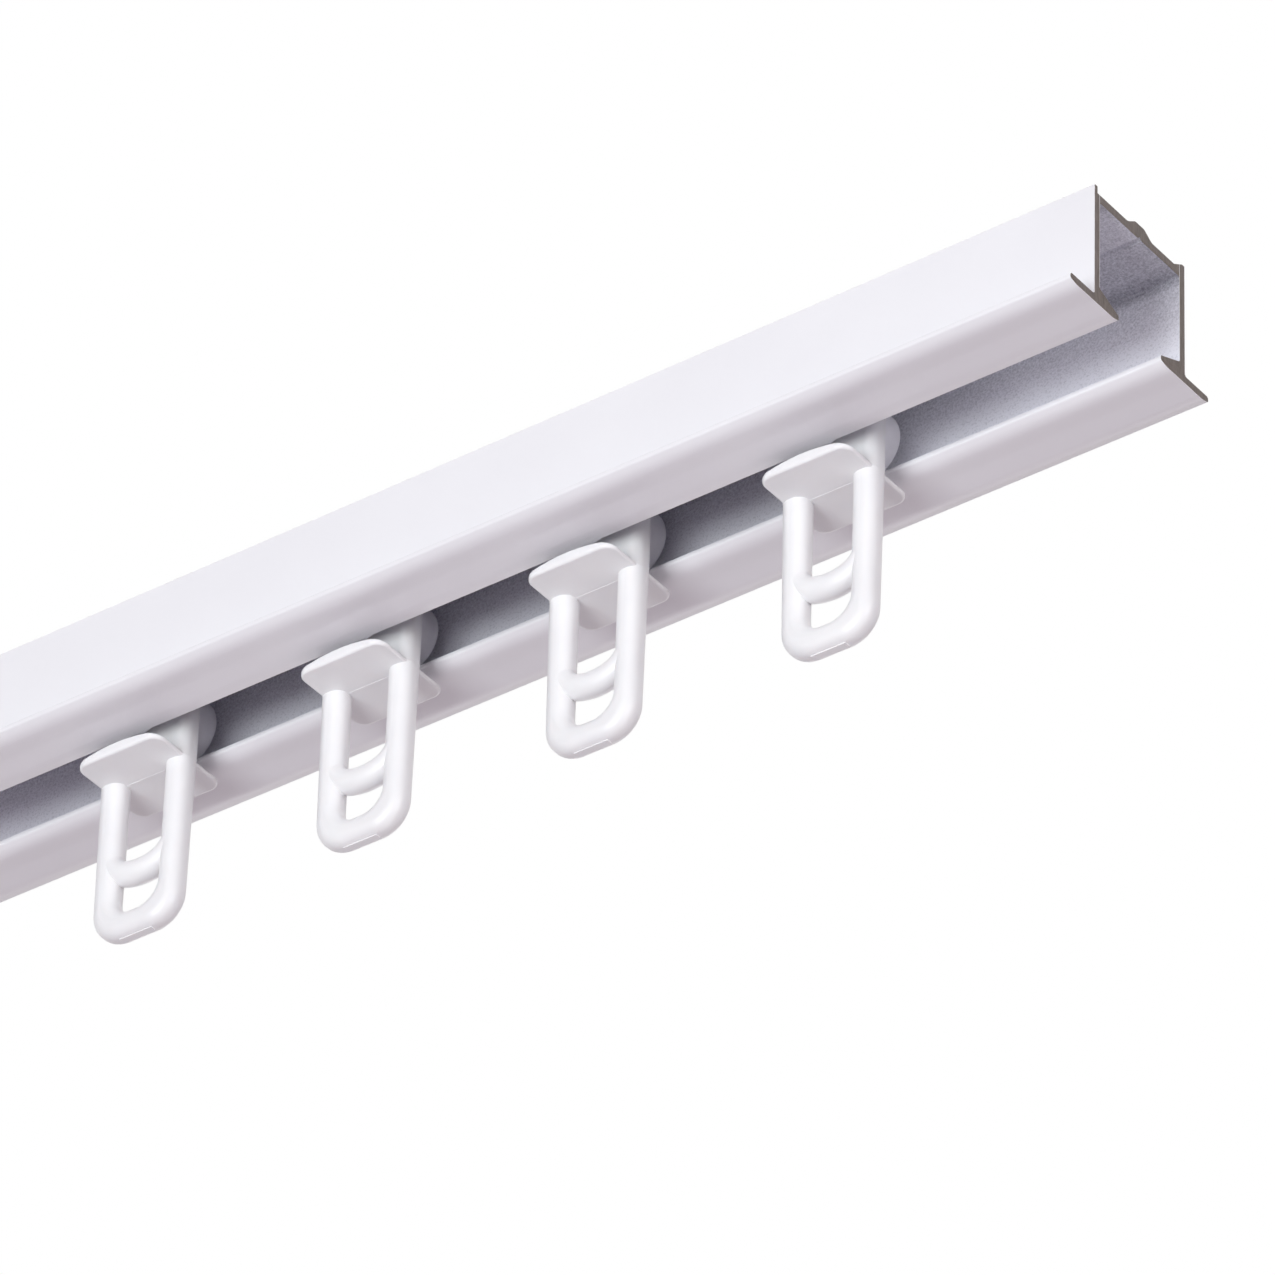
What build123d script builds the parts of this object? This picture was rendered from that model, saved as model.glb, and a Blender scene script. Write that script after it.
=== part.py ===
from build123d import *
import math
import os

# A short length of aluminium curtain track with four wheeled gliders hanging in it.
# Millimetres. X runs along the track, Y across it (+Y is the back), Z up.
# The origin is the middle of the face that lies against the ceiling, so the track hangs below Z = 0.

# Track extrusion
track_length = 162.0
track_height = 14.85        # ceiling face to the underside of the lips
body_width = 16.0           # across the two side walls
wall_thickness = 0.95
web_thickness = 1.0
bearing_height = 0.85       # how far the ridge and the corner ribs stand above the web
lip_span = 24.25            # across the two outer lips
outer_lip_thickness = 0.95
slot_width = 7.45           # between the two inner lips
inner_lip_tip = 0.85
inner_lip_slope = 22.0      # degrees, the rolling face falls towards the slot
soft_edge_width = 2.0       # the lips' undersides curve up towards every edge
soft_edge_rise = 0.33
ridge_centre = -0.45
ridge_base = 4.2
ridge_top = 1.6
ridge_foot_radius = 1.0
ridge_crown_radius = 0.6
front_rib_width = 0.55
back_rib_base = 1.9
back_rib_top = 0.45
rib_edge_radius = 0.12
groove_width = 0.7          # drilling guide under the web
groove_depth = 0.35
tip_radius = 0.3            # upper corner of the outer lips
corner_radius = 0.2         # the lips' other corners
inside_radius = 0.3

# Gliders
glider_count = 4
glider_pitch = 29.3
running_gap = 0.05          # radial, between the pin and every bore, and between wheel and lip
side_gap = 0.1              # endways, between a wheel and what stands beside it

# Wheels and their pin
wheel_radius = 4.4
wheel_edge_radius = 0.35
wheel_outer_face = 5.4      # distance of the outer face from the middle of the track
wheel_width = 3.4
hub_radius = 1.75
hub_inset = 0.25            # the hub's outer end lies this far inside the wheel's face
rim_thickness = 1.1
recess_depth = 0.7
pin_radius = 0.9
head_radius = 1.5
head_height = 0.5
head_edge_radius = 0.35

# Moulded glider body
body_thickness = 2.9
body_half_width = 5.85
loop_half_width = 5.6       # the legs taper from the body's width to this
leg_width = 3.0             # at the plate
leg_edge_radius = 1.3        # the legs and the loop are nearly round
stem_edge_radius = 1.2
head_above_pin = 3.4
head_flat = 5.0             # straight top of the stem, between its two round corners
boss_height = 0.25
plate_drop = 2.55           # underside of the plate below the underside of the lips
plate_length = 11.0
plate_width = 11.2
plate_thickness = 1.2       # in the middle
plate_end_thickness = 0.35
plate_corner_radius = 1.45
plate_edge_radius = 0.28
loop_land = 3.6             # flat at the bottom of the loop, between its two round corners
loop_base = 2.95            # loop thickness at the bottom
bar_diameter = 2.8
bar_drop = 11.9             # plate underside to the bar's middle, at mid-span
bar_arc_radius = 6.4        # the bar sags in this arc, then bends up into the legs
bar_arc_half = 2.3
eye_height = 3.7            # hook eye under the bar, at mid-span
eye_floor = 0.9             # straight floor of the hook eye, between its two round corners
pad_length = 4.2            # flat under the loop where the plastic was let in
pad_width = 0.8
pad_height = 0.1
seam_width = 0.3            # parting rib between the legs
seam_height = 0.03

# Levels and places that follow
lip_bottom = -track_height
web_top = -bearing_height
web_bottom = web_top - web_thickness
outer_half = body_width / 2
inner_half = outer_half - wall_thickness
slot_half = slot_width / 2
lip_half = lip_span / 2
slope_rise = math.tan(math.radians(inner_lip_slope))
lip_root_top = lip_bottom + inner_lip_tip + (inner_half - slot_half) * slope_rise

# A wheel rests on the sloping lip with the round of its outer edge
contact_centre = wheel_outer_face - wheel_edge_radius
contact_angle = math.radians(inner_lip_slope)
contact_y = contact_centre + wheel_edge_radius * math.sin(contact_angle)
contact_z = lip_bottom + inner_lip_tip + (contact_y - slot_half) * slope_rise
edge_lift = wheel_edge_radius * (1 - math.cos(contact_angle))
pin_z = contact_z - edge_lift + running_gap + wheel_radius

plate_bottom = lip_bottom - plate_drop
loop_bottom = plate_bottom - bar_drop - bar_diameter / 2 - eye_height - loop_base
window_half = body_half_width - leg_width
loop_corner_radius = loop_half_width - loop_land / 2
eye_floor_radius = window_half - eye_floor / 2
head_corner_radius = body_half_width - head_flat / 2
bore_radius = pin_radius + running_gap
boss_face = body_thickness / 2 + boss_height
hub_inner = boss_face + side_gap
hub_outer = wheel_outer_face - hub_inset
pin_half = hub_outer + side_gap

glider_places = [(glider_count - 1) * glider_pitch / 2 - i * glider_pitch for i in range(glider_count)]


def corners_at(sketch, places):
    """The sketch's corners nearest to the given places, in the sketch plane's own two coordinates."""
    found = []
    for across, up in places:
        found.append(min(sketch.vertices(), key=lambda v: abs(v.X - across) + abs(v.Y - up)))
    return found


def corners_where(sketch, test):
    """The sketch's corners whose height in the sketch plane passes a test."""
    return [v for v in sketch.vertices() if test(v.Y)]


def half_section():
    """Back half of the channel with its lips, without what stands on the web."""
    edge_start = lip_bottom + soft_edge_rise
    with BuildSketch(Plane.YZ) as half:
        with BuildLine():
            Polyline((0, web_bottom), (0, web_top), (outer_half, web_top),
                     (outer_half, lip_bottom + outer_lip_thickness),
                     (lip_half, lip_bottom + outer_lip_thickness), (lip_half, edge_start))
            TangentArc((lip_half - soft_edge_width, lip_bottom), (lip_half, edge_start), tangent=(1, 0))
            Line((lip_half - soft_edge_width, lip_bottom), (slot_half + soft_edge_width, lip_bottom))
            TangentArc((slot_half + soft_edge_width, lip_bottom), (slot_half, edge_start), tangent=(-1, 0))
            Polyline((slot_half, edge_start), (slot_half, lip_bottom + inner_lip_tip),
                     (inner_half, lip_root_top), (inner_half, web_bottom), (0, web_bottom))
        make_face()
        fillet(corners_at(half, [(lip_half, lip_bottom + outer_lip_thickness)]), tip_radius)
        fillet(corners_at(half, [(lip_half, edge_start), (slot_half, edge_start),
                                 (slot_half, lip_bottom + inner_lip_tip)]), corner_radius)
        fillet(corners_at(half, [(outer_half, lip_bottom + outer_lip_thickness),
                                 (inner_half, lip_root_top), (inner_half, web_bottom)]), inside_radius)
    return half.sketch


def ridge():
    """Rounded ridge along the middle of the web."""
    half_top = ridge_top / 2
    half_base = ridge_base / 2
    half_foot = half_base + ridge_foot_radius
    with BuildSketch(Plane.YZ) as shape:
        with Locations((ridge_centre, 0)):
            with BuildLine():
                FilletPolyline((-half_foot, web_bottom), (-half_foot, web_top), (-half_base, web_top),
                               (-half_top, 0), (half_top, 0), (half_base, web_top),
                               (half_foot, web_top), (half_foot, web_bottom),
                               radius=[0, ridge_foot_radius, ridge_crown_radius,
                                       ridge_crown_radius, ridge_foot_radius, 0])
                Line((half_foot, web_bottom), (-half_foot, web_bottom))
            make_face()
    return shape.sketch


def corner_ribs():
    """Narrow upright rib on the front corner, wedge on the back one."""
    with BuildSketch(Plane.YZ) as ribs:
        with BuildLine():
            Polyline((-outer_half, web_top), (-outer_half, 0), (-outer_half + front_rib_width, 0),
                     (-outer_half + front_rib_width, web_top), close=True)
        make_face()
        with BuildLine():
            Polyline((outer_half, web_top), (outer_half, 0), (outer_half - back_rib_top, 0),
                     (outer_half - back_rib_base, web_top), close=True)
        make_face()
        fillet(corners_where(ribs, lambda z: z > web_top / 2), rib_edge_radius)
    return ribs.sketch


def groove():
    """V under the web that centres a drill."""
    with BuildSketch(Plane.YZ) as notch:
        with BuildLine():
            Polyline((-groove_width / 2, web_bottom), (0, web_bottom + groove_depth),
                     (groove_width / 2, web_bottom), close=True)
        make_face()
    return notch.sketch


def make_track():
    half = half_section()
    section = half + mirror(half, about=Plane.XZ) + ridge() + corner_ribs() - groove()
    return extrude(section, amount=track_length / 2, both=True, dir=(1, 0, 0))


def rounded_sheet(sketch, height_test, radius):
    """The body's thickness of an outline, with the rims rounded whose height passes a test."""
    sheet = extrude(sketch, amount=body_thickness / 2, both=True)
    faces_apart = body_thickness / 2 - 0.01
    rims = sheet.edges().filter_by(lambda e: abs(e.center().Y) > faces_apart and height_test(e.center().Z))
    return fillet(rims, radius)


def make_stem():
    """Upright plate that passes through the slot and holds the pin."""
    foot = plate_bottom + plate_end_thickness / 2
    top = pin_z + head_above_pin
    with BuildSketch(Plane.XZ) as outline:
        with BuildLine():
            Polyline((-body_half_width, foot), (-body_half_width, top), (body_half_width, top),
                     (body_half_width, foot), close=True)
        make_face()
        fillet(corners_where(outline, lambda z: z > top - 0.01), head_corner_radius)
    return rounded_sheet(outline.sketch, lambda z: z > foot + 0.01, stem_edge_radius)


def make_loop():
    """Both legs and the bottom of the loop."""
    top = plate_bottom + plate_end_thickness / 2
    floor = loop_bottom + loop_base
    with BuildSketch(Plane.XZ) as outline:
        with BuildLine():
            Polyline((-loop_half_width, loop_bottom), (-body_half_width, top), (-window_half, top),
                     (-window_half, floor), (window_half, floor), (window_half, top),
                     (body_half_width, top), (loop_half_width, loop_bottom), close=True)
        make_face()
        fillet(corners_where(outline, lambda z: z < loop_bottom + 0.01), loop_corner_radius)
        fillet(corners_where(outline, lambda z: abs(z - floor) < 0.01), eye_floor_radius)
    return rounded_sheet(outline.sketch, lambda z: z < top - 0.01, leg_edge_radius)


def make_bar():
    """Round bar that sags between the legs and bends up into them at both ends."""
    leg_place = window_half + leg_width / 2
    middle = plate_bottom - bar_drop
    lean = math.asin(bar_arc_half / bar_arc_radius)
    arc_rise = bar_arc_radius * (1 - math.cos(lean))
    bend_radius = (leg_place - bar_arc_half) / (1 - math.sin(lean))
    end_level = middle + arc_rise + bend_radius * math.cos(lean)
    with BuildLine(Plane.XZ) as path:
        arc = ThreePointArc((-bar_arc_half, middle + arc_rise), (0, middle), (bar_arc_half, middle + arc_rise))
        TangentArc(arc @ 1, (leg_place, end_level), tangent=arc % 1)
        TangentArc(arc @ 0, (-leg_place, end_level), tangent=-(arc % 0))
    start = Plane(origin=(-leg_place, 0, end_level), z_dir=(0, 0, -1))
    with BuildSketch(start) as section:
        Circle(bar_diameter / 2)
    return sweep(section.sketch, path=path.wire())


def make_plate():
    """Cover plate below the slot: flat underneath, arched on top along the track."""
    half = plate_length / 2
    with BuildSketch(Plane.XZ) as side:
        with BuildLine():
            ThreePointArc((-half, plate_bottom + plate_end_thickness), (0, plate_bottom + plate_thickness),
                          (half, plate_bottom + plate_end_thickness))
            Polyline((half, plate_bottom + plate_end_thickness), (half, plate_bottom),
                     (-half, plate_bottom), (-half, plate_bottom + plate_end_thickness))
        make_face()
    plate = extrude(side.sketch, amount=plate_width / 2, both=True)
    plate = fillet(plate.edges().filter_by(Axis.Z), plate_corner_radius)
    return fillet(plate.faces().sort_by(Axis.Z)[0].edges(), plate_edge_radius)


def make_body():
    seam = Pos(0, 0, plate_bottom) * Box(2 * window_half + leg_width, seam_width, 2 * seam_height)
    pad = Pos(0, 0, loop_bottom) * Box(pad_length, pad_width, 2 * pad_height)
    bosses = Pos(0, 0, pin_z) * Rot(90, 0, 0) * Cylinder(hub_radius, 2 * boss_face)
    bore = Pos(0, 0, pin_z) * Rot(90, 0, 0) * Cylinder(bore_radius, 2 * pin_half)
    return make_stem() + make_plate() + make_loop() + make_bar() + seam + pad + bosses - bore


def make_wheel():
    """Wheel on the back side: hub, web and rim turned about the pin."""
    inner_face = wheel_outer_face - wheel_width
    rim_inside = wheel_radius - rim_thickness
    with BuildSketch(Plane.YZ) as profile:
        with BuildLine():
            Polyline((hub_inner, pin_z + bore_radius), (hub_inner, pin_z + hub_radius),
                     (inner_face, pin_z + hub_radius), (inner_face, pin_z + wheel_radius),
                     (wheel_outer_face, pin_z + wheel_radius), (wheel_outer_face, pin_z + rim_inside),
                     (wheel_outer_face - recess_depth, pin_z + rim_inside),
                     (wheel_outer_face - recess_depth, pin_z + hub_radius),
                     (hub_outer, pin_z + hub_radius), (hub_outer, pin_z + bore_radius), close=True)
        make_face()
        fillet(corners_where(profile, lambda z: z > pin_z + wheel_radius - 0.01), wheel_edge_radius)
    return revolve(profile.sketch, Axis((0, 0, pin_z), (0, 1, 0)))


def make_pin():
    """Steel pin with a rounded head formed at each end."""
    head = Cylinder(head_radius, head_height)
    head = Pos(0, 0, pin_half + head_height / 2) * fillet(head.edges().group_by(Axis.Z)[-1], head_edge_radius)
    pin = Cylinder(pin_radius, 2 * pin_half) + head + mirror(head, about=Plane.XY)
    return Pos(0, 0, pin_z) * Rot(90, 0, 0) * pin


def main():
    os.makedirs("parts", exist_ok=True)
    export_step(make_track(), "parts/track.step")
    body = make_body()
    wheel = make_wheel()
    front_wheel = mirror(wheel, about=Plane.XZ)
    pin = make_pin()
    for number, place in enumerate(glider_places, start=1):
        export_step(Pos(place, 0, 0) * body, f"parts/glider_body_{number}.step")
        export_step(Pos(place, 0, 0) * pin, f"parts/axle_pin_{number}.step")
        export_step(Pos(place, 0, 0) * front_wheel, f"parts/front_wheel_{number}.step")
        export_step(Pos(place, 0, 0) * wheel, f"parts/back_wheel_{number}.step")


main()
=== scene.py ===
import math
import bpy
from mathutils import Matrix, Vector

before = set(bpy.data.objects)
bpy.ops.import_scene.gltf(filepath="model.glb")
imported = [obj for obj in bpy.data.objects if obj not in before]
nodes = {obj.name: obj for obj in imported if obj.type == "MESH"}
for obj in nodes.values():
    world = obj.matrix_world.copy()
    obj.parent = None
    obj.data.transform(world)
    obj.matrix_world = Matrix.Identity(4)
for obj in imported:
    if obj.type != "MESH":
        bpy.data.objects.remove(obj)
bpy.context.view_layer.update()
mm = 0.001
gliderNumbers = [1, 2, 3, 4]
print("frame loaded:", len(nodes), "nodes")

bpy.ops.object.select_all(action="DESELECT")


def newMaterial(name):
    material = bpy.data.materials.new(name)
    material.use_nodes = True
    tree = material.node_tree
    return material, tree, tree.nodes["Principled BSDF"]


def link(tree, outSocket, inSocket):
    tree.links.new(outSocket, inSocket)


def mathNode(tree, operation, first, second=None, third=None, clamp=False):
    # each input is a number or another node's output socket
    node = tree.nodes.new("ShaderNodeMath")
    node.operation = operation
    node.use_clamp = clamp
    for i, value in enumerate((first, second, third)):
        if value is None:
            continue
        if isinstance(value, (int, float)):
            node.inputs[i].default_value = value
        else:
            link(tree, value, node.inputs[i])
    return node.outputs[0]


def objectPoint(tree):
    point = tree.nodes.new("ShaderNodeTexCoord").outputs["Object"]
    split = tree.nodes.new("ShaderNodeSeparateXYZ")
    link(tree, point, split.inputs[0])
    return point, split.outputs[0], split.outputs[1], split.outputs[2]


def stretched(tree, point, scale):
    node = tree.nodes.new("ShaderNodeMapping")
    node.inputs["Scale"].default_value = scale
    link(tree, point, node.inputs["Vector"])
    return node.outputs[0]


def noise(tree, point, scale, detail=3.0, roughness=0.5):
    node = tree.nodes.new("ShaderNodeTexNoise")
    node.inputs["Scale"].default_value = scale
    node.inputs["Detail"].default_value = detail
    node.inputs["Roughness"].default_value = roughness
    link(tree, point, node.inputs["Vector"])
    return node.outputs[0]


def step(tree, value, start, end):
    # 0 before start, 1 after end
    node = tree.nodes.new("ShaderNodeMapRange")
    node.clamp = True
    node.interpolation_type = "SMOOTHSTEP"
    link(tree, value, node.inputs["Value"])
    node.inputs["From Min"].default_value = start
    node.inputs["From Max"].default_value = end
    return node.outputs[0]


def less(tree, value):
    # what is left of 1
    return mathNode(tree, "SUBTRACT", 1.0, value)


def mixValue(tree, factor, first, second):
    node = tree.nodes.new("ShaderNodeMix")
    link(tree, factor, node.inputs[0])
    link(tree, first, node.inputs[2])
    link(tree, second, node.inputs[3])
    return node.outputs[0]


def mixColour(tree, factor, first, second):
    # each colour is a tuple or another node's output socket
    node = tree.nodes.new("ShaderNodeMix")
    node.data_type = "RGBA"
    link(tree, factor, node.inputs[0])
    for socket, value in ((node.inputs[6], first), (node.inputs[7], second)):
        if isinstance(value, tuple):
            socket.default_value = (*value, 1.0)
        else:
            link(tree, value, socket)
    return node.outputs[2]


def ramp(tree, factor, first, second, low=0.3, high=0.7):
    node = tree.nodes.new("ShaderNodeValToRGB")
    node.color_ramp.elements[0].position = low
    node.color_ramp.elements[0].color = (*first, 1.0)
    node.color_ramp.elements[1].position = high
    node.color_ramp.elements[1].color = (*second, 1.0)
    link(tree, factor, node.inputs[0])
    return node.outputs[0]


def bump(tree, height, strength, distance):
    node = tree.nodes.new("ShaderNodeBump")
    if isinstance(strength, (int, float)):
        node.inputs["Strength"].default_value = strength
    else:
        link(tree, strength, node.inputs["Strength"])
    node.inputs["Distance"].default_value = distance
    link(tree, height, node.inputs["Height"])
    return node


track = {
    "paintLight": (0.885, 0.880, 0.912),
    "paintDark": (0.862, 0.856, 0.890),
    "paintPatches": 60.0,           # noise scales are per metre
    "paintRoughness": 0.36,
    "paintRoughnessChange": 0.10,
    "peel": 0.8,                    # orange peel of the paint
    "peelScale": 2600.0,
    "metalLight": (0.925, 0.930, 0.995),
    "metalDark": (0.270, 0.273, 0.318),
    "metalShine": 0.08,
    "metalRoughness": 0.52,
    "metalRoughnessChange": 0.16,
    "metalGrain": 1.7,
    "grainScale": 4000.0,
    "drawnScale": 3200.0,
    "drawnStretch": (0.06, 1.0, 1.0),
    "drawnShare": 0.12,             # the rest of the pattern is grain
    # painted light and shade inside the channel: these levels stand in for shade in the corner and behind the
    # groove, and for light falling through the slot
    "webLeft": 0.62,                # painted shade level on the bare metal, 0 dark to 1 light
    "webRight": 0.40,
    "webCorner": 0.18,
    "wallTop": 0.64,
    "wallFoot": 1.0,
    "webTurn": (-0.1 * mm, 0.25 * mm),          # left and right of the groove, across the track
    "cornerFrom": 4.2 * mm,         # painted shade: the web gets darker from here out to the walls
    "cornerDepth": -3.4 * mm,       # and the walls from here up to the web, painted corner shade
    "wallShadeTop": -3.0 * mm,
    "wallShadeFoot": -10.0 * mm,    # the walls are painted lightest below this, standing in for light through the slot
    "nearWall": (0.25 * mm, 0.05 * mm),
    "belowWeb": (-5.0 * mm, -6.0 * mm),         # all that is lower is wall or lip
    "cutLight": (0.139, 0.108, 0.095),
    "cutDark": (0.071, 0.054, 0.048),
    "cutShine": 0.5,
    "sawScale": 5200.0,
    "sawStretch": (1.0, 1.0, 0.12),
    "endSkin": (0.012 * mm, 0.004 * mm),
    # the burr's light colour is bare metal plus a painted highlight along the cut's inner edges
    "burrAndGlint": (0.62, 0.60, 0.62),
    "burrWidth": 0.07 * mm,
    "burrStart": -0.02 * mm,
    "coatEdge": 0.07 * mm,          # paint seen edge-on at the sawn end
    "coatEndSoft": 0.04 * mm,
    "coatEndWander": 0.10 * mm,     # the paint doesn't end on a straight line
    "coatEndScale": 1400.0,
    "softShare": 0.6,               # thin lines fade over the rest of their width
    "blend": 0.1 * mm,              # masks change over this width, where no face shows it
    "halfLength": 81.0 * mm,
    "lipHalf": 12.125 * mm,
    "slotHalf": 3.725 * mm,
    "outerHalf": 8.0 * mm,
    "innerHalf": 7.05 * mm,
    "insideHalf": 7.4 * mm,         # past the inner faces, inside the walls
    "lipEdge": -14.08 * mm,         # paint ends here, on the lip's inner corner
    "lipTop": -13.7 * mm,
    "rollingTop": -12.5 * mm,       # the walls stand free of the rolling faces above this
    "underside": -14.85 * mm,
    "webUnderside": -1.85 * mm,
    "webInside": -1.45 * mm,        # above the web's lower face, inside the web
    "edgeRoll": 1.9 * mm,           # the paint looks rounder towards the lips' edges
    "edgeRollHeight": 0.45 * mm,
    "edgeRollTop": (-14.3 * mm, -14.2 * mm),    # only the undersides have the roll
    "edgeSwelling": 0.11 * mm,
    "swellingReach": (-2.3 * mm, -0.2 * mm),
    "slotMiddle": 1.0 * mm,         # past this, front or back, a face is on one lip
    "fineBump": 0.35,
    "fineDepth": 0.03 * mm,
}


def bareChannel(tree, point, side, z):
    # 1 between the walls, above the lips' edges and below the top of the web
    coatEnd, soft, blend = track["lipEdge"], track["coatEndSoft"], track["blend"]
    wander = mathNode(tree, "MULTIPLY_ADD", noise(tree, point, track["coatEndScale"]),
                      track["coatEndWander"], -track["coatEndWander"] / 2)
    height = mathNode(tree, "ADD", z, wander)
    between = less(tree, step(tree, side, track["insideHalf"], track["insideHalf"] + blend))
    above = step(tree, height, coatEnd - soft, coatEnd + soft)
    below = less(tree, step(tree, z, track["webInside"], track["webInside"] + blend))
    return mathNode(tree, "MULTIPLY", mathNode(tree, "MULTIPLY", between, above), below)


def sawnEnds(tree, x, side, z):
    # 1 on both end faces, less the thin edge of the paint
    along = mathNode(tree, "ABSOLUTE", x)
    skinStart, skinEnd = track["endSkin"]
    ends = step(tree, along, track["halfLength"] - skinStart, track["halfLength"] - skinEnd)
    coatEdge = track["coatEdge"]
    coatSolid = track["softShare"] * coatEdge
    coatSide = step(tree, side, track["outerHalf"] - coatEdge, track["outerHalf"] - coatSolid)
    aboveLip = step(tree, z, track["lipTop"] - track["blend"] / 2, track["lipTop"])
    coatSide = mathNode(tree, "MULTIPLY", coatSide, aboveLip)
    coatUnder = less(tree, step(tree, z, track["underside"] + coatSolid, track["underside"] + coatEdge))
    coat = mathNode(tree, "MAXIMUM", coatSide, coatUnder)
    return mathNode(tree, "MULTIPLY", ends, less(tree, coat))


def channelPaintedShade(tree, side, y, z):
    # painted shade and light: the web is painted darker behind the groove and in the corner, and the walls
    # are painted lighter downwards where light comes through the slot
    behindGroove = mathNode(tree, "MULTIPLY_ADD", step(tree, y, *track["webTurn"]),
                            track["webRight"] - track["webLeft"], track["webLeft"])
    web = mathNode(tree, "MULTIPLY_ADD", step(tree, side, track["cornerFrom"], track["innerHalf"]),
                   track["webCorner"] - track["webRight"], behindGroove)
    wall = mathNode(tree, "MULTIPLY_ADD", step(tree, z, track["wallShadeTop"], track["wallShadeFoot"]),
                    track["wallFoot"] - track["wallTop"], track["wallTop"])
    wall = mathNode(tree, "MULTIPLY_ADD", step(tree, z, track["cornerDepth"], track["webUnderside"]),
                    track["webCorner"] - track["wallTop"], wall)
    nearStart, nearEnd = track["nearWall"]
    nearWall = step(tree, side, track["innerHalf"] - nearStart, track["innerHalf"] - nearEnd)
    onWall = mathNode(tree, "MAXIMUM", nearWall, step(tree, z, *track["belowWeb"]))
    return mixValue(tree, onWall, web, wall)


def burrAndGlintLine(tree, side, z):
    # thin bright burr where the saw left the inner faces, with a painted highlight where its edge would catch
    # the light
    fromInner = mathNode(tree, "SUBTRACT", side, track["innerHalf"])
    near = less(tree, step(tree, fromInner, track["softShare"] * track["burrWidth"], track["burrWidth"]))
    freeWall = step(tree, z, track["rollingTop"] - track["blend"], track["rollingTop"])
    inWall = mathNode(tree, "MULTIPLY", step(tree, fromInner, track["burrStart"], 0.0), freeWall)
    return mathNode(tree, "MULTIPLY", near, inWall)


def edgeRolls(tree, side, y):
    # soft rolls along the edges of the two undersides; the front lip stays flat towards the slot
    outward = mathNode(tree, "SUBTRACT", side, track["lipHalf"] - track["edgeRoll"])
    inward = mathNode(tree, "SUBTRACT", track["slotHalf"] + track["edgeRoll"], side)
    backLip = step(tree, y, -track["slotMiddle"], track["slotMiddle"])
    # a shallow swelling lies behind each edge that faces the front
    reach = track["swellingReach"]
    swellOut = mathNode(tree, "MULTIPLY", step(tree, outward, *reach), less(tree, backLip))
    swellIn = mathNode(tree, "MULTIPLY", step(tree, inward, *reach), backLip)
    swelling = mathNode(tree, "MULTIPLY", mathNode(tree, "ADD", swellOut, swellIn), track["edgeSwelling"])
    inward = mathNode(tree, "MULTIPLY", inward, backLip)
    into = mathNode(tree, "DIVIDE", mathNode(tree, "MAXIMUM", outward, inward), track["edgeRoll"], clamp=True)
    squared = mathNode(tree, "MULTIPLY", into, into)
    return mathNode(tree, "MULTIPLY_ADD", squared, -track["edgeRollHeight"], swelling)


def trackMaterial():
    material, tree, shader = newMaterial("trackPaintAndMetal")
    point, x, y, z = objectPoint(tree)
    side = mathNode(tree, "ABSOLUTE", y)
    inside = bareChannel(tree, point, side, z)
    cut = sawnEnds(tree, x, side, z)

    patches = noise(tree, point, track["paintPatches"], detail=2.0)
    paint = ramp(tree, patches, track["paintDark"], track["paintLight"])
    drawn = noise(tree, stretched(tree, point, track["drawnStretch"]), track["drawnScale"], roughness=0.6)
    grain = noise(tree, point, track["grainScale"], roughness=0.7)
    pattern = mathNode(tree, "MULTIPLY_ADD", drawn, track["drawnShare"],
                       mathNode(tree, "MULTIPLY", grain, 1.0 - track["drawnShare"]))
    # the bare metal's grain over its painted shade and light
    grainAndPaintedShade = mathNode(tree, "MULTIPLY_ADD", mathNode(tree, "SUBTRACT", pattern, 0.5), track["metalGrain"],
                         channelPaintedShade(tree, side, y, z), clamp=True)
    metal = mixColour(tree, grainAndPaintedShade, track["metalDark"], track["metalLight"])
    sawn = noise(tree, stretched(tree, point, track["sawStretch"]), track["sawScale"], roughness=0.6)
    cutColour = ramp(tree, sawn, track["cutDark"], track["cutLight"])
    # the sawn face, with the burr and its painted highlight along the inner edges
    cutColour = mixColour(tree, burrAndGlintLine(tree, side, z), cutColour, track["burrAndGlint"])
    colour = mixColour(tree, cut, mixColour(tree, inside, paint, metal), cutColour)
    link(tree, colour, shader.inputs["Base Color"])

    shine = mathNode(tree, "MULTIPLY_ADD", cut, track["cutShine"],
                     mathNode(tree, "MULTIPLY", inside, track["metalShine"]), clamp=True)
    link(tree, shine, shader.inputs["Metallic"])
    paintChange, metalChange = track["paintRoughnessChange"], track["metalRoughnessChange"]
    paintRough = mathNode(tree, "MULTIPLY_ADD", grain, paintChange, track["paintRoughness"] - paintChange / 2)
    metalRough = mathNode(tree, "MULTIPLY_ADD", grain, metalChange, track["metalRoughness"] - metalChange / 2)
    bare = mathNode(tree, "MAXIMUM", inside, cut)
    link(tree, mixValue(tree, bare, paintRough, metalRough), shader.inputs["Roughness"])

    peel = mathNode(tree, "MULTIPLY", noise(tree, point, track["peelScale"]), track["peel"])
    texture = mathNode(tree, "ADD", peel, mathNode(tree, "MULTIPLY", pattern, inside))
    texture = mathNode(tree, "ADD", texture, mathNode(tree, "MULTIPLY", sawn, cut))
    fine = bump(tree, texture, track["fineBump"], track["fineDepth"])
    onUnderside = less(tree, step(tree, z, *track["edgeRollTop"]))
    roll = bump(tree, edgeRolls(tree, side, y), onUnderside, 1.0)
    link(tree, fine.outputs[0], roll.inputs["Normal"])
    link(tree, roll.outputs[0], shader.inputs["Normal"])
    return material


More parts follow.
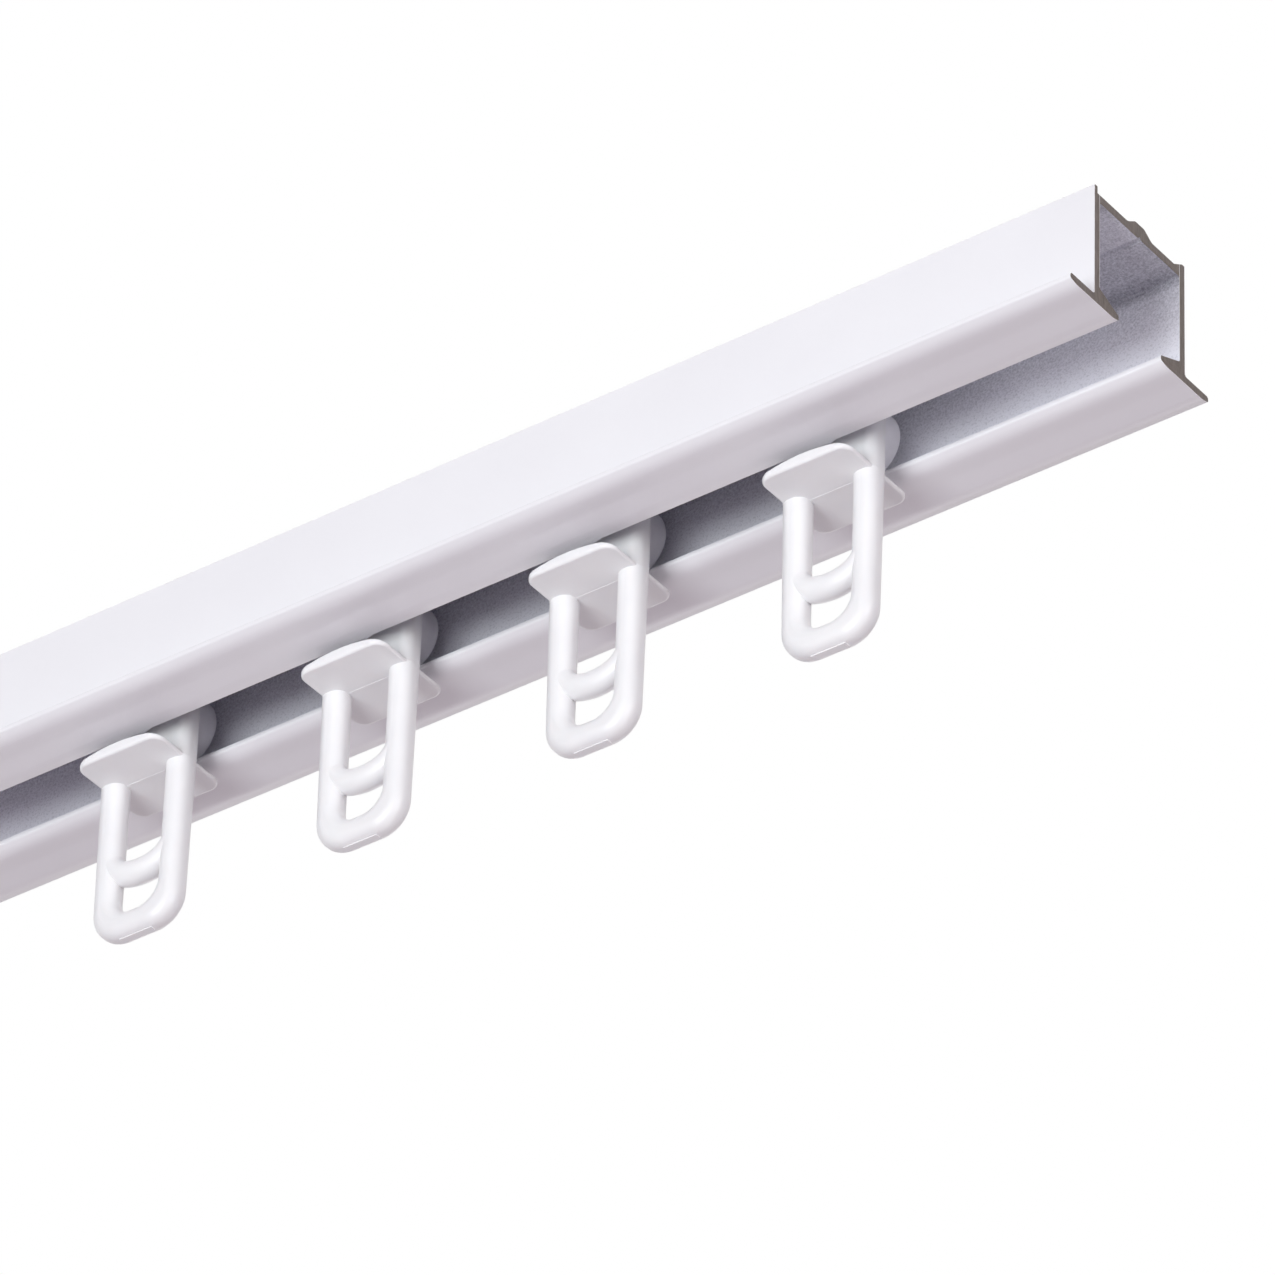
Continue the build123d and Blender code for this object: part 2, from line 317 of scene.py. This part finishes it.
def plasticMaterial(name, finish):
    # a moulded plastic, from the values of one piece
    material, tree, shader = newMaterial(name)
    point = objectPoint(tree)[0]
    patches = noise(tree, point, finish["patchScale"], finish["patchDetail"])
    link(tree, ramp(tree, patches, finish["dark"], finish["light"]), shader.inputs["Base Color"])
    fine = noise(tree, point, finish["fineScale"])
    change = finish["roughnessChange"]
    rough = mathNode(tree, "MULTIPLY_ADD", fine, change, finish["roughness"] - change / 2)
    link(tree, rough, shader.inputs["Roughness"])
    shader.inputs["Transmission Weight"].default_value = finish["through"]
    shader.inputs["Subsurface Weight"].default_value = finish["glow"]
    shader.inputs["Subsurface Radius"].default_value = finish["glowColour"]
    shader.inputs["Subsurface Scale"].default_value = finish["glowDepth"]
    shader.inputs["IOR"].default_value = finish["bending"]
    texture = bump(tree, fine, finish["fineBump"], finish["fineDepth"])
    link(tree, texture.outputs[0], shader.inputs["Normal"])
    return material


glider = {
    "light": (0.895, 0.895, 0.905),
    "dark": (0.865, 0.865, 0.880),
    "patchScale": 180.0,
    "patchDetail": 2.0,
    "fineScale": 2600.0,
    "roughness": 0.34,
    "roughnessChange": 0.12,
    "through": 0.0,
    "glow": 0.22,                   # light that goes through the plastic
    "glowColour": (1.0, 0.92, 0.88),
    "glowDepth": 1.2 * mm,
    "bending": 1.48,
    "fineBump": 0.12,
    "fineDepth": 0.015 * mm,
}

wheel = {
    "light": (0.93, 0.918, 0.97),
    "dark": (0.85, 0.838, 0.885),
    "patchScale": 420.0,
    "patchDetail": 3.0,
    "fineScale": 3000.0,
    "roughness": 0.40,
    "roughnessChange": 0.14,
    "through": 0.18,                # the wheels are milky, the bodies aren't
    "glow": 0.2,
    "glowColour": (1.0, 1.0, 1.0),
    "glowDepth": 1.0 * mm,
    "bending": 1.48,
    "fineBump": 0.15,
    "fineDepth": 0.02 * mm,
}

pin = {
    "steelLight": (0.62, 0.61, 0.60),
    "steelDark": (0.44, 0.435, 0.43),
    "drawnScale": 6000.0,
    "drawnStretch": (1.0, 0.05, 1.0),
    "roughness": 0.30,
    "roughnessChange": 0.2,
    "fineBump": 0.2,
    "fineDepth": 0.01 * mm,
}


def pinMaterial():
    material, tree, shader = newMaterial("pinSteel")
    point = objectPoint(tree)[0]
    drawn = noise(tree, stretched(tree, point, pin["drawnStretch"]), pin["drawnScale"], detail=2.0)
    link(tree, ramp(tree, drawn, pin["steelDark"], pin["steelLight"]), shader.inputs["Base Color"])
    change = pin["roughnessChange"]
    rough = mathNode(tree, "MULTIPLY_ADD", drawn, change, pin["roughness"] - change / 2)
    link(tree, rough, shader.inputs["Roughness"])
    shader.inputs["Metallic"].default_value = 1.0
    texture = bump(tree, drawn, pin["fineBump"], pin["fineDepth"])
    link(tree, texture.outputs[0], shader.inputs["Normal"])
    return material


def finishNode(name, material):
    mesh = nodes[name].data
    if not mesh.materials:
        mesh.materials.append(material)
    for i in range(len(mesh.materials)):
        mesh.materials[i] = material


finishNode("track", trackMaterial())
bodyPlastic = plasticMaterial("gliderPlastic", glider)
wheelPlastic = plasticMaterial("wheelPlastic", wheel)
pinSteel = pinMaterial()
for number in gliderNumbers:
    finishNode(f"glider_body_{number}", bodyPlastic)
    finishNode(f"front_wheel_{number}", wheelPlastic)
    finishNode(f"back_wheel_{number}", wheelPlastic)
    finishNode(f"axle_pin_{number}", pinSteel)
print("finishes done")

studio = {
    "ambient": 0.24,
    "ambientColour": (1.0, 0.86, 0.95),
    "sky": 0.45,                    # light from above
    "skyLean": (0.34, 0.94),        # how far its middle lies to the back and up
    "skyEdge": (0.25, 0.95),
    "floorDepth": -1.7,
    "floorSize": 6.0,
    "floorColour": (0.76, 0.65, 0.71),
    "floorRoughness": 0.9,
    "white": (1.0, 1.0, 1.0),
}

lamps = {
    "keyLamp": {"place": (0.0, -1.23, -0.42), "size": 0.75, "power": 11.5, "colour": (0.95, 1.0, 1.0)},
    "fillLamp": {"place": (1.12, -0.42, -0.08), "size": 0.6, "power": 5.8, "colour": (1.0, 1.0, 1.0)},
    "backLamp": {"place": (-0.45, 1.2, -0.16), "size": 0.8, "power": 2.4, "colour": (1.0, 1.0, 1.0)},
    "topLamp": {"place": (0.3, 0.3, 1.1), "size": 0.9, "power": 8.0, "colour": (1.0, 1.0, 1.0)},
}


def seenAsWhite(tree):
    # 1 for what the camera, a reflection or clear plastic sees directly
    path = tree.nodes.new("ShaderNodeLightPath")
    seen = mathNode(tree, "MAXIMUM", path.outputs["Is Camera Ray"], path.outputs["Is Glossy Ray"])
    return mathNode(tree, "MAXIMUM", seen, path.outputs["Is Transmission Ray"])


def makeWorld():
    world = bpy.data.worlds.new("studioWorld")
    bpy.context.scene.world = world
    world.use_nodes = True
    tree = world.node_tree
    background = tree.nodes["Background"]
    soft = tuple(studio["ambient"] * c for c in studio["ambientColour"])
    skyColour = (studio["sky"],) * 3
    back, up = studio["skyLean"]
    direction = tree.nodes.new("ShaderNodeTexCoord").outputs["Generated"]
    split = tree.nodes.new("ShaderNodeSeparateXYZ")
    link(tree, direction, split.inputs[0])
    height = mathNode(tree, "MULTIPLY_ADD", split.outputs[2], up,
                      mathNode(tree, "MULTIPLY", split.outputs[1], back))
    ambient = mixColour(tree, step(tree, height, *studio["skyEdge"]), soft, skyColour)
    link(tree, mixColour(tree, seenAsWhite(tree), ambient, studio["white"]), background.inputs["Color"])
    background.inputs["Strength"].default_value = 1.0


def makeFloor():
    bpy.ops.mesh.primitive_plane_add(size=studio["floorSize"], location=(0, 0, studio["floorDepth"]))
    floor = bpy.context.object
    floor.name = "studioFloor"
    material, tree, shader = newMaterial("floorPaint")
    shader.inputs["Base Color"].default_value = (*studio["floorColour"], 1.0)
    shader.inputs["Roughness"].default_value = studio["floorRoughness"]
    glow = tree.nodes.new("ShaderNodeEmission")
    glow.inputs["Color"].default_value = (*studio["white"], 1.0)
    glow.inputs["Strength"].default_value = 1.0
    mixed = tree.nodes.new("ShaderNodeMixShader")
    link(tree, seenAsWhite(tree), mixed.inputs[0])
    link(tree, shader.outputs[0], mixed.inputs[1])
    link(tree, glow.outputs[0], mixed.inputs[2])
    link(tree, mixed.outputs[0], tree.nodes["Material Output"].inputs[0])
    floor.data.materials.append(material)


def makeLamp(name, values):
    # a square lamp that faces the origin
    bpy.ops.object.light_add(type="AREA", location=values["place"])
    lamp = bpy.context.object
    lamp.name = name
    lamp.data.size = values["size"]
    lamp.data.energy = values["power"]
    lamp.data.color = values["colour"]
    lamp.rotation_euler = (-Vector(values["place"])).to_track_quat("-Z", "Y").to_euler()


makeWorld()
makeFloor()
for lampName, lampValues in lamps.items():
    makeLamp(lampName, lampValues)
print("studio done")

camera = {
    "place": (0.5242, -0.6571, -0.6386),
    "azimuth": 37.51,
    "lookUp": 36.50,
    "roll": 2.02,
    "lens": 288.0,                  # in mm, on a sensor 36 mm wide
    "sensor": 36.0,
    "clip": (0.05, 20.0),
}


def makeCamera():
    bpy.ops.object.camera_add(location=camera["place"])
    view = bpy.context.object
    view.name = "photoCamera"
    turn = Matrix.Rotation(math.radians(camera["azimuth"]), 3, "Z")
    turn = turn @ Matrix.Rotation(math.radians(90.0 + camera["lookUp"]), 3, "X")
    turn = turn @ Matrix.Rotation(math.radians(camera["roll"]), 3, "Z")
    view.rotation_euler = turn.to_euler()
    view.data.lens = camera["lens"]
    view.data.sensor_width = camera["sensor"]
    view.data.clip_start, view.data.clip_end = camera["clip"]
    bpy.context.scene.camera = view


makeCamera()
bpy.context.scene.view_settings.view_transform = "Standard"
print("camera done")
